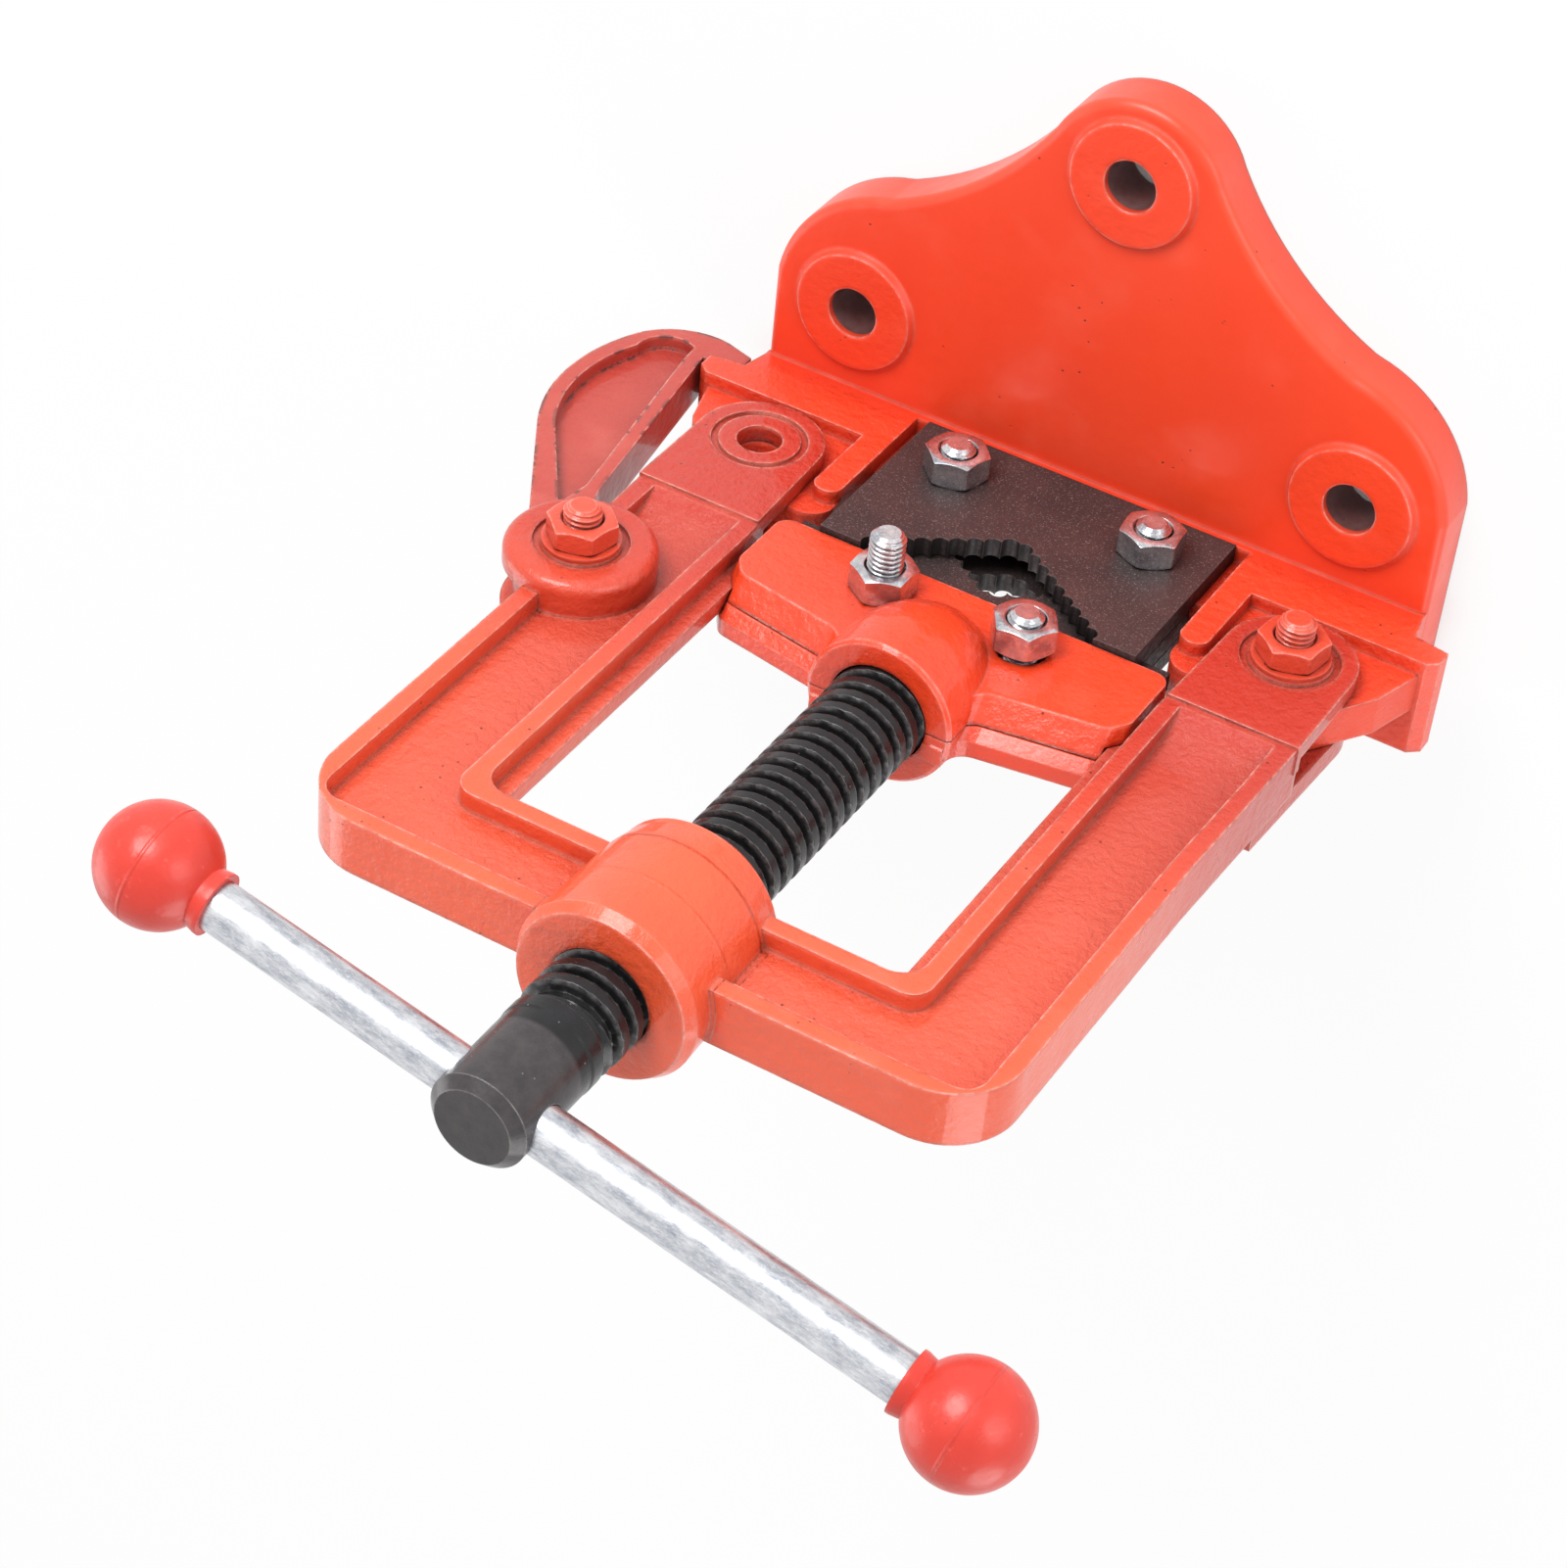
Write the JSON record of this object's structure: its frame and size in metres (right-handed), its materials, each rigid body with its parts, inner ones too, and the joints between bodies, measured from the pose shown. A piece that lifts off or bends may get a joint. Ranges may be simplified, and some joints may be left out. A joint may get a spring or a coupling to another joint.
{
  "type": "hinged pipe vise",
  "caption": "Bench-mounted hinged pipe vise with a lobed bolt-down flange, toothed vee jaws, swing-open yoke, latch hook and lead screw turned by a sliding bar.",
  "frame": {"origin": "on the mounting face of the base, on the axis of the lead screw", "axes": "+Z away from the mounting face along the lead screw, -Y towards the lobed end of the flange, X across the jaws with the latch at +X"},
  "size_m": [0.229, 0.1355, 0.2562],
  "materials": {
    "bright_paint": "glossy enamel over cast iron",
    "yoke_paint": "glossy enamel over cast iron, a little lighter",
    "latch_paint": "glossy enamel with small chips",
    "dark_steel": "dark oxide, speckled",
    "black_steel": "black oxide with an oily sheen",
    "zinc": "bright zinc plating",
    "red_plastic": "moulded red plastic"
  },
  "bodies": {
    "base": {"base_casting": "bright_paint", "front_fixed_jaw": "dark_steel", "rear_fixed_jaw": "dark_steel", "fixed_jaw_bolts": "zinc", "fixed_jaw_nuts": "zinc"},
    "yoke": {"yoke_frame": "yoke_paint", "hinge_bolt": "yoke_paint", "hinge_nut": "yoke_paint", "hinge_washers": "yoke_paint", "latch_bolt": "yoke_paint", "latch_nut": "yoke_paint", "latch_washers": "yoke_paint"},
    "latch": {"latch_hook": "latch_paint"},
    "moving_jaw": {"moving_jaw_casting": "bright_paint", "moving_jaw_rear": "bright_paint", "moving_jaw_plate": "dark_steel", "moving_jaw_bolts": "zinc", "moving_jaw_nuts": "zinc"},
    "screw": {"lead_screw": "black_steel", "thrust_washer": "black_steel"},
    "handle": {"tommy_bar": "zinc", "left_knob": "red_plastic", "right_knob": "red_plastic"}
  },
  "joints": [
    {"name": "yoke_hinge", "type": "hinge", "parent": "base", "child": "yoke", "pos_m": [-0.065, 0, 0.044], "axis": [0, -1, 0], "range_deg": [0, 90]},
    {"name": "latch_pivot", "type": "hinge", "parent": "yoke", "child": "latch", "pos_m": [0.0738, 0, 0.103], "axis": [0, -1, 0], "range_deg": [0, 75]},
    {"name": "jaw_slide", "type": "slide", "parent": "yoke", "child": "moving_jaw", "axis": [0, 0, 1], "range_m": [0, 0.062]},
    {"name": "screw_spin", "type": "hinge", "parent": "moving_jaw", "child": "screw", "pos_m": [0, 0, 0.1], "axis": [0, 0, 1], "range_deg": [-5, 4470]},
    {"name": "bar_slide", "type": "slide", "parent": "screw", "child": "handle", "axis": [0.9759, -0.2181, 0], "range_m": [-0.0535, 0.0785]}
  ],
  "couplings": [
    {"joint": "screw_spin", "follows": "jaw_slide", "rad_per_m": 1256.6}
  ]
}
